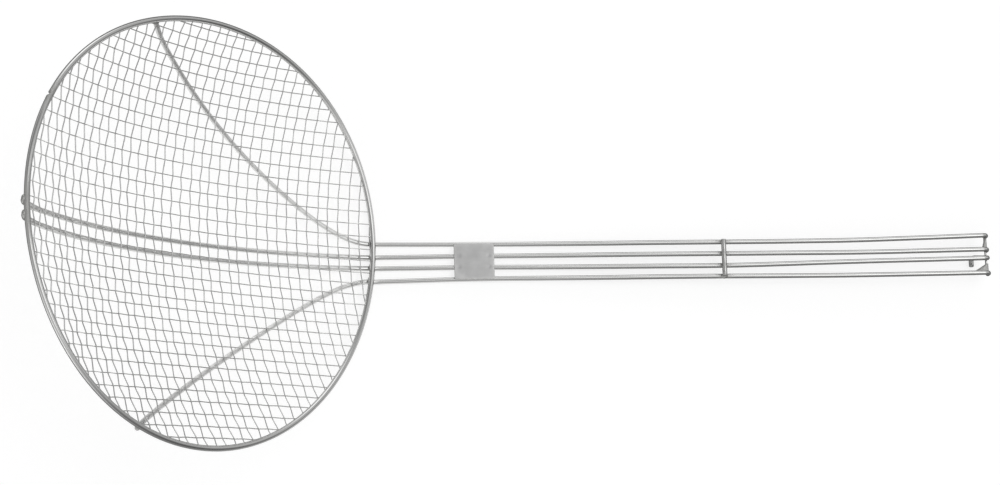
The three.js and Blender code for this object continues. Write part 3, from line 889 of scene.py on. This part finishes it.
def floor_paper(finish, stage):
    """Matt white backdrop paper. It takes the strainer's soft shadow, and glows a little where the camera
    or a mirror sees it, so that it is white there without more light on the metal."""
    material, tree = begun("matt_white_backdrop_paper")
    # Mirrors see it white only under the bowl, and dim further off: past the pool's edge the glow dies away.
    place = add(tree, "TexCoord")
    x, y, radius = stage.pool
    far = add(tree, "VectorMath", {"operation": "DISTANCE"}, {1: (x, y, 0)}, {0: place.outputs["Object"]})
    pool = add(tree, "MapRange", {"interpolation_type": "SMOOTHSTEP"},
               {"From Min": radius, "From Max": radius + stage.pool_edge, "To Min": 1, "To Max": 0},
               {"Value": far.outputs["Value"]})
    path = add(tree, "LightPath")
    mirrored = add(tree, "Math", {"operation": "MULTIPLY"}, {},
                   {0: path.outputs["Is Glossy Ray"], 1: pool.outputs["Result"]})
    seen = add(tree, "Math", {"operation": "MAXIMUM"}, {},
               {0: path.outputs["Is Camera Ray"], 1: path.outputs["Is Transmission Ray"]})
    added = add(tree, "Math", {"operation": "MULTIPLY"}, {1: stage.floor_glow}, {0: seen.outputs["Value"]})
    strength = add(tree, "Math", {"operation": "MAXIMUM"}, {},
                   {0: added.outputs["Value"], 1: mirrored.outputs["Value"]})
    paper = add(tree, "BsdfDiffuse", {}, {"Color": solid(finish.floor)})
    glow = add(tree, "Emission", {}, {"Color": (1, 1, 1, 1)}, {"Strength": strength.outputs["Value"]})
    both = add(tree, "AddShader", {}, {}, {0: paper.outputs["BSDF"], 1: glow.outputs["Emission"]})
    add(tree, "OutputMaterial", {}, {}, {"Surface": both.outputs["Shader"]})
    return material


def finish_named(name, make, *settings):
    """The material of a name, made the first time that a piece asks for it."""
    return bpy.data.materials.get(name) or make(*settings)


def made(name, surface, material):
    """An object with the surface as its mesh, at the origin, with what its finish reads at each point."""
    mesh = bpy.data.meshes.new(name)
    corners = np.concatenate([surface.squares.ravel(), surface.triangles.ravel()])
    squares, triangles = len(surface.squares), len(surface.triangles)
    starts = np.concatenate([np.arange(squares) * 4, squares * 4 + np.arange(triangles) * 3])
    mesh.vertices.add(len(surface.points))
    mesh.vertices.foreach_set("co", surface.points.ravel())
    mesh.loops.add(len(corners))
    mesh.loops.foreach_set("vertex_index", corners)
    mesh.polygons.add(len(starts))
    mesh.polygons.foreach_set("loop_start", starts)
    mesh.update(calc_edges=True)
    if mesh.validate():
        raise RuntimeError(f"{name}: its surface has broken faces")
    mesh.shade_smooth()
    mesh.attributes.new("run", "FLOAT_VECTOR", "POINT").data.foreach_set("vector", surface.run.ravel())
    mesh.attributes.new("dull", "FLOAT", "POINT").data.foreach_set("value", surface.dull)
    mesh.attributes.new("tint", "FLOAT", "POINT").data.foreach_set("value", surface.tint)
    mesh.materials.append(material)
    item = bpy.data.objects.new(name, mesh)
    bpy.context.collection.objects.link(item)
    return item


def fitted(name, surface, material, nodes=()):
    """A piece of the strainer: made, riding on the part's one body, and standing for the solids it
    replaces."""
    item = made(name, surface, material)
    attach(item, BODY)
    if nodes:
        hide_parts(*nodes)
    return item


# Operators

class STRAINER_OT_rim_hoop(bpy.types.Operator):
    """Bends the hoop: a round wire on the hand-bent circle, with the swelling and the nick of its butt
    joint"""

    bl_idname = "strainer.rim_hoop"
    bl_label = "Rim hoop"

    def execute(self, context):
        settings = context.scene.strainer
        layout = Layout(settings)
        bowl = settings.bowl
        turn = np.linspace(0, 2 * np.pi, RIM_RINGS, endpoint=False)
        beside = (turn - bowl.joint) * bowl.radius
        swell = bowl.joint_swell * np.exp(-(beside / bowl.joint_width) ** 2)
        nick = bowl.joint_notch * np.clip(1.5 - np.abs(beside) / bowl.notch_width, 0, 1)
        # Rings start at the bowl's z and turn outwards first, so the hoop's lower outside is at three
        # eighths.
        section = np.linspace(0, 2 * np.pi, WIRE_SIDES, endpoint=False)
        outside = np.clip(np.cos(section - 0.75 * np.pi), 0, 1)
        radius = settings.wires.rim / 2 + swell[:, None] - nick[:, None] * outside
        burnt = layout.placed(layout.rim_point(np.append(layout.rim_welds()[2], bowl.joint)))
        surface = wire(
            layout.placed(layout.rim_point(turn)), radius, layout.turned([0, 0, 1]), closed=True,
            welds=burnt, weld_reach=np.array(bowl.burnt))
        material = finish_named("nickel_plated_drawn_wire", drawn_wire_nickel, settings.finish)
        fitted("rim", surface, material, ["rim_hoop"])
        return {"FINISHED"}


class STRAINER_OT_frame_wires(bpy.types.Operator):
    """Bends the four frame wires from tip to bowl, each one round wire along its own line"""

    bl_idname = "strainer.frame_wires"
    bl_label = "Frame wires"

    def execute(self, context):
        settings = context.scene.strainer
        layout = Layout(settings)
        wires, bowl = settings.wires, settings.bowl
        material = finish_named("nickel_plated_drawn_wire", drawn_wire_nickel, settings.finish)
        for name in LONG_WIRES:
            # Rings are laid out from a direction that no stretch of the wire takes.
            across = np.array([-0.5, 0.6, 0.6] if name == HOOKED_WIRE else [0, 1, 0])
            surface = wire(
                layout.placed(layout.frame_wire(name)), wires.frame / 2, across,
                rounding=wires.frame_end, welds=layout.weld_places(), weld_reach=wires.burnt)
            # Under the bowl the wire is marked for its satin plate, and for the painted light that makes up
            # for the shade the mesh casts on it.
            plan = ((surface.points - layout.origin) @ layout.axes.T)[:, :2]
            inside = bowl.radius - np.linalg.norm(plan, axis=1)
            surface = surface._replace(tint=np.clip((inside - bowl.satin_and_light_start) / bowl.satin_and_light_edge, 0, 1))
            fitted("long_wire_" + name, surface, material, ["frame_wire_" + name])
        return {"FINISHED"}


class STRAINER_OT_woven_mesh(bpy.types.Operator):
    """Weaves the bowl: two sets of crimped round wires, each over one and under the next, cut at the hoop"""

    bl_idname = "strainer.woven_mesh"
    bl_label = "Woven mesh"

    def execute(self, context):
        settings = context.scene.strainer
        layout = Layout(settings)
        wires, mesh = settings.wires, settings.mesh
        material = finish_named("nickel_plated_crimped_wire", crimped_mesh_nickel, settings.finish)
        along, across = layout.mesh_lines()
        sets = (("along", along, across, mesh.across_pitch, False, mesh.along_crimp, [0, 1, 0]),
                ("across", across, along, mesh.along_pitch, True, -mesh.across_crimp, [1, 0, 0]))
        chance = np.random.default_rng(WEAR_SEED)
        for name, lines, others, pitch, flipped, crimp, beside in sets:
            surfaces = []
            for number, place in enumerate(lines):
                path = layout.mesh_wire(place, number, others, pitch, flipped, crimp)
                if path is not None:
                    surfaces.append(wire(
                        layout.placed(path), wires.mesh / 2, layout.turned(beside), sides=MESH_SIDES,
                        rounding=wires.mesh_end, tint=chance.uniform(-0.5, 0.5)))
            nodes = [f"mesh_{name}_{number:02d}" for number in range(1, MESH_NODES + 1)]
            fitted("weave_" + name, merged(surfaces), material, nodes)
        return {"FINISHED"}


def plate_outline(half_length, half_width, corner):
    """Outline of the plate about its middle, in even steps, from the handle's way to the left: four quarter
    circles at the corners, joined by straight sides."""
    arc = np.linspace(0, np.pi / 2, CORNER_STEPS)
    quarter = np.arange(4)[:, None] * np.pi / 2 + arc
    signs = np.array([[1, 1], [-1, 1], [-1, -1], [1, -1]])
    core = signs * (np.array([half_length, half_width]) - corner)
    arcs = core[:, None] + corner * np.stack([np.cos(quarter), np.sin(quarter)], axis=-1)
    closed = np.concatenate([arcs.reshape(-1, 2), arcs[0, :1]])
    distance = travelled(closed)
    even = np.linspace(0, distance[-1], PLATE_SIDES, endpoint=False)
    return np.stack([np.interp(even, distance, column) for column in closed.T], axis=1)


def plate_profile(half_width, sheet, edge):
    """How far in from the outline and how high each of the plate's rings is: along the underside from just
    beside its middle, round the edge in two quarter circles, and back along the face."""
    bend = np.linspace(0, np.pi / 2, EDGE_STEPS)
    inwards = np.linspace(half_width * 0.98, edge, PLATE_RINGS)[:-1]
    shrinking, growing = edge * (1 - np.sin(bend)), edge * (1 - np.cos(bend))
    inset = np.concatenate([inwards, shrinking, growing, inwards[::-1]])
    height = np.concatenate([0 * inwards, growing, sheet - shrinking, 0 * inwards + sheet])
    return inset[:, None], height[:, None]


class STRAINER_OT_grip_plate(bpy.types.Operator):
    """Cuts the plate: rings of one rounded outline, from the middle of its underside round its worn edge to
    the middle of its face, with a bell-shaped dent at each spot weld"""

    bl_idname = "strainer.grip_plate"
    bl_label = "Grip plate"

    def execute(self, context):
        settings = context.scene.strainer
        layout = Layout(settings)
        wires, handle = settings.wires, settings.handle
        half_length = handle.plate_length / 2
        half_width = handle.plate_width / 2
        outline = plate_outline(half_length, half_width, handle.plate_corner)
        inset, height = plate_profile(half_width, wires.sheet, handle.plate_edge)
        scale = 1 - inset / np.array([half_length, half_width])
        flat = outline[None] * scale[:, None]
        ahead, beside = flat[..., 0], flat[..., 1]
        # Dents over the inner wires near both ends, and a slow ripple at the sheet's sides.
        dents = np.zeros(ahead.shape)
        for dent_ahead in (-handle.dent_near * half_length, handle.dent_far * half_length):
            for dent_beside in (handle.inner_left[1], handle.inner_right[1]):
                gap = np.hypot(ahead - dent_ahead, beside - dent_beside)
                dents += np.exp(-(gap / handle.dent_width) ** 2)
        ripple = handle.ripple * np.sin(ahead / handle.ripple_length) * (beside / half_width) ** 2
        lift = wires.frame / 2 + wires.seat + height - handle.plate_dent * dents + ripple
        middle = handle.plate_start + half_length
        rings = layout.placed(layout.handle_point(middle + ahead, beside, lift))
        run = np.stack(np.broadcast_arrays(ahead, beside, height), axis=-1)
        worn = np.exp(-inset / handle.wear) - 0.6 * np.clip(dents, 0, 1)
        surface = ringed(rings, run, 0.0, worn)
        material = finish_named("dull_nickel_plated_rolled_sheet", rolled_sheet_nickel, settings.finish)
        fitted("plate", surface, material, ["grip_plate"])
        return {"FINISHED"}


class STRAINER_OT_cross_rods(bpy.types.Operator):
    """Cuts the bar across the handle and the spacers between the wires' ends: straight round wires with
    rounded ends"""

    bl_idname = "strainer.cross_rods"
    bl_label = "Cross bar and spacers"

    def execute(self, context):
        settings = context.scene.strainer
        layout = Layout(settings)
        wires, handle = settings.wires, settings.handle
        material = finish_named("nickel_plated_drawn_wire", drawn_wire_nickel, settings.finish)
        welds = layout.weld_places()
        upward = layout.turned(layout.upward)
        side = np.linspace(-handle.bar_length / 2, handle.bar_length / 2, BAR_STEPS)
        start = handle.bar_start - handle.bar_slant * side / handle.bar_length
        above = wires.frame / 2 + wires.seat + wires.bar / 2
        path = layout.placed(layout.handle_point(start, side, np.full(side.shape, above)))
        bar = wire(
            path, wires.bar / 2, upward, rounding=wires.bar_end, welds=welds, weld_reach=wires.burnt_rod)
        fitted("cross_bar", bar, material, ["grip_cross_bar"])
        ends = layout.placed(layout.handle_welds()[1])
        spacers = []
        for left, right in zip(ends[:-1], ends[1:]):
            # A spacer's ends are sunk in the wires, a tenth of the way from their middles.
            path = left + np.linspace(0.1, 0.9, SPACER_STEPS)[:, None] * (right - left)
            spacers.append(wire(
                path, wires.spacer / 2, upward, rounding=wires.spacer_end, welds=welds,
                weld_reach=wires.burnt_rod))
        nodes = ["end_spacer_left", "end_spacer_middle", "end_spacer_right"]
        fitted("end_spacers", merged(spacers), material, nodes)
        return {"FINISHED"}


class STRAINER_OT_weld_beads(bpy.types.Operator):
    """Lays the welds: lumpy ellipsoids where wires meet the hoop and the bar, and webs beside the spacers"""

    bl_idname = "strainer.weld_beads"
    bl_label = "Weld beads"

    def execute(self, context):
        settings = context.scene.strainer
        layout = Layout(settings)
        wires, handle = settings.wires, settings.handle
        material = finish_named("nickel_plated_resistance_weld", weld_metal, settings.finish)
        fan, near, far = layout.rim_welds()
        # Under the hoop, in millimetres: radii along the wire, along the hoop and up, and how far inside
        # the hoop's line and below it.
        kinds = (
            (fan[:1], (1.2, 1.6, 0.8), 1.4, 1.7),
            (fan[1:], (1.6, 1.5, 0.8), 0, 1.7),
            (near, (0.6, 2.2, 0.6), 0.9, 1.2),
            (far, (2.2, 2.2, 1.5), -0.5, 1.3))
        beads = []
        for turns, radii, inside, below in kinds:
            for turn in turns:
                outward = np.array([math.cos(turn), math.sin(turn), 0])
                level = outward * math.cos(layout.rim_slope) + np.array([0, 0, math.sin(layout.rim_slope)])
                centre = layout.rim_point(turn) - outward * inside * MM - np.array([0, 0, below * MM])
                beads.append(bead(
                    layout.placed(centre), layout.turned(level), layout.turned([0, 0, 1]),
                    np.array(radii) * MM, RIM_WELD_SEED + len(beads)))
        fitted("welds_rim", merged(beads), material)
        bar, end = layout.handle_welds()
        along, upward = layout.turned(layout.along), layout.turned(layout.upward)
        # Between the bar and each wire: radii along the handle, across it and up.
        sizes = ((1.7, 1.4, 0.9), (1.3, 1.3, 0.6), (1.3, 1.3, 0.6), (1.9, 1.6, 0.9))
        beads = [
            bead(layout.placed(place), along, upward, np.array(size) * MM, BAR_WELD_SEED + order)
            for order, (place, size) in enumerate(zip(bar, sizes))]
        fitted("welds_bar", merged(beads), material)
        # Webs reach from the second and the last wire towards the one before: their width at the wire, and
        # the share of the way that they reach. They narrow to a spacer's width, and lie a little below the
        # wires' middles.
        end = end + (handle.tip_bend - handle.web_drop) * layout.upward
        part = np.linspace(0, 1, WEB_STEPS)[:, None]
        webs = []
        for wire_number, base, reach in ((1, 3.2, 0.8), (3, 10, 0.62)):
            width = base * MM / 2 * (1 - part) + wires.spacer / 2 * part
            path = end[wire_number] + reach * part * (end[wire_number - 1] - end[wire_number])
            path = path - (width - wires.spacer / 2) * layout.along
            webs.append(web(layout.placed(path), along, upward, width, handle.web_sheet / 2))
        fitted("welds_end", merged(webs), material)
        return {"FINISHED"}


def linked(name, data):
    """A new object for the data, in the scene."""
    item = bpy.data.objects.new(name, data)
    bpy.context.scene.collection.objects.link(item)
    return item


def laid_floor(finish, stage):
    """A square of paper at the frame's ground, half its side to each side of the origin."""
    half = stage.floor_size / 2
    corners = [(-half, -half, 0), (half, -half, 0), (half, half, 0), (-half, half, 0)]
    mesh = bpy.data.meshes.new("floor")
    mesh.from_pydata(corners, [], [(0, 1, 2, 3)])
    mesh.materials.append(floor_paper(finish, stage))
    return linked("floor", mesh)


def hung_lamp(stage):
    """A broad lamp that looks at the origin. It casts the soft shadow, and the metal doesn't mirror it."""
    lamp = bpy.data.lights.new("soft_key", "AREA")
    lamp.energy = stage.key_power
    lamp.size = stage.key_size
    key = linked("soft_key", lamp)
    key.location = Vector(stage.key_place)
    key.rotation_euler = (-key.location).to_track_quat("-Z", "Y").to_euler()
    key.visible_glossy = False
    return key


def grey_room(stage):
    """The room: a pale grey, plus soft lights and dims, each its strength times a power of the cosine of
    the angle from its way."""
    world = bpy.data.worlds.new("grey_room")
    world.use_nodes = True
    tree = world.node_tree
    tree.nodes.clear()
    place = add(tree, "TexCoord")
    patches = []
    for *way, sharpness, strength in (
            stage.ceiling, stage.window, stage.side_light, stage.front_light, stage.front_dim, stage.low_dim,
            stage.back_dim, stage.left_light, stage.back_light):
        near = add(tree, "VectorMath", {"operation": "DOT_PRODUCT"}, {1: way},
                   {0: place.outputs["Generated"]})
        facing = add(tree, "Math", {"operation": "MAXIMUM"}, {1: 0}, {0: near.outputs["Value"]})
        patch = add(tree, "Math", {"operation": "POWER"}, {1: sharpness}, {0: facing.outputs["Value"]})
        patches.append(add(tree, "Math", {"operation": "MULTIPLY"}, {1: strength},
                           {0: patch.outputs["Value"]}))
    level = add(tree, "Math", {"operation": "ADD"}, {1: stage.room}, {0: patches[0].outputs["Value"]})
    for patch in patches[1:]:
        level = add(tree, "Math", {"operation": "ADD"}, {},
                    {0: level.outputs["Value"], 1: patch.outputs["Value"]})
    light = add(tree, "Background", {}, {"Color": (1, 1, 1, 1)}, {"Strength": level.outputs["Value"]})
    add(tree, "OutputWorld", {}, {}, {"Surface": light.outputs["Background"]})
    return world


def aimed_camera(stage, layout):
    """The camera, at its place and turn in the bowl's axes, carried into the frame's axes."""
    lens = bpy.data.cameras.new("camera")
    lens.lens = stage.lens
    lens.sensor_width = 36
    camera = linked("camera", lens)
    camera.location = layout.placed(np.array(stage.camera_place))
    turned = Matrix(layout.axes.T.tolist()) @ Euler(stage.camera_turn).to_matrix()
    camera.rotation_euler = turned.to_euler()
    return camera


class STRAINER_OT_stage(bpy.types.Operator):
    """Sets the floor, the soft light overhead, the grey room and the camera at the picture's angle"""

    bl_idname = "strainer.stage"
    bl_label = "Stage"

    def execute(self, context):
        settings = context.scene.strainer
        scene = context.scene
        scene.view_settings.view_transform = "Standard"
        laid_floor(settings.finish, settings.stage)
        hung_lamp(settings.stage)
        scene.world = grey_room(settings.stage)
        scene.camera = aimed_camera(settings.stage, Layout(settings))
        return {"FINISHED"}


class STRAINER_PT_panel(bpy.types.Panel):
    """Lists the steps that build the strainer, and its settings"""

    bl_idname = "STRAINER_PT_panel"
    bl_label = "Frying strainer"
    bl_space_type = "VIEW_3D"
    bl_region_type = "UI"
    bl_category = "Strainer"

    def draw(self, context):
        settings = context.scene.strainer
        column = self.layout.column()
        for operator in OPERATORS:
            column.operator(operator.bl_idname)
        for group in ("wires", "bowl", "mesh", "handle", "finish", "stage"):
            box = self.layout.box()
            box.label(text=group.capitalize())
            for name in getattr(settings, group).__annotations__:
                box.prop(getattr(settings, group), name)


GROUPS = (StrainerWires, StrainerBowl, StrainerMesh, StrainerHandle, StrainerFinish, StrainerStage,
          StrainerSettings)
OPERATORS = (STRAINER_OT_rim_hoop, STRAINER_OT_frame_wires, STRAINER_OT_woven_mesh, STRAINER_OT_grip_plate,
             STRAINER_OT_cross_rods, STRAINER_OT_weld_beads, STRAINER_OT_stage)
CLASSES = (*GROUPS, *OPERATORS, STRAINER_PT_panel)


def register():
    """Registers the settings, the operators and the panel."""
    for item in CLASSES:
        bpy.utils.register_class(item)
    bpy.types.Scene.strainer = bpy.props.PointerProperty(type=StrainerSettings)


def unregister():
    """Takes them out again."""
    del bpy.types.Scene.strainer
    for item in reversed(CLASSES):
        bpy.utils.unregister_class(item)


def main():
    """Builds the strainer and its stage."""
    register()
    bpy.ops.strainer.rim_hoop()
    bpy.ops.strainer.frame_wires()
    bpy.ops.strainer.woven_mesh()
    bpy.ops.strainer.grip_plate()
    bpy.ops.strainer.cross_rods()
    bpy.ops.strainer.weld_beads()
    bpy.ops.strainer.stage()


if __name__ == "__main__":
    main()
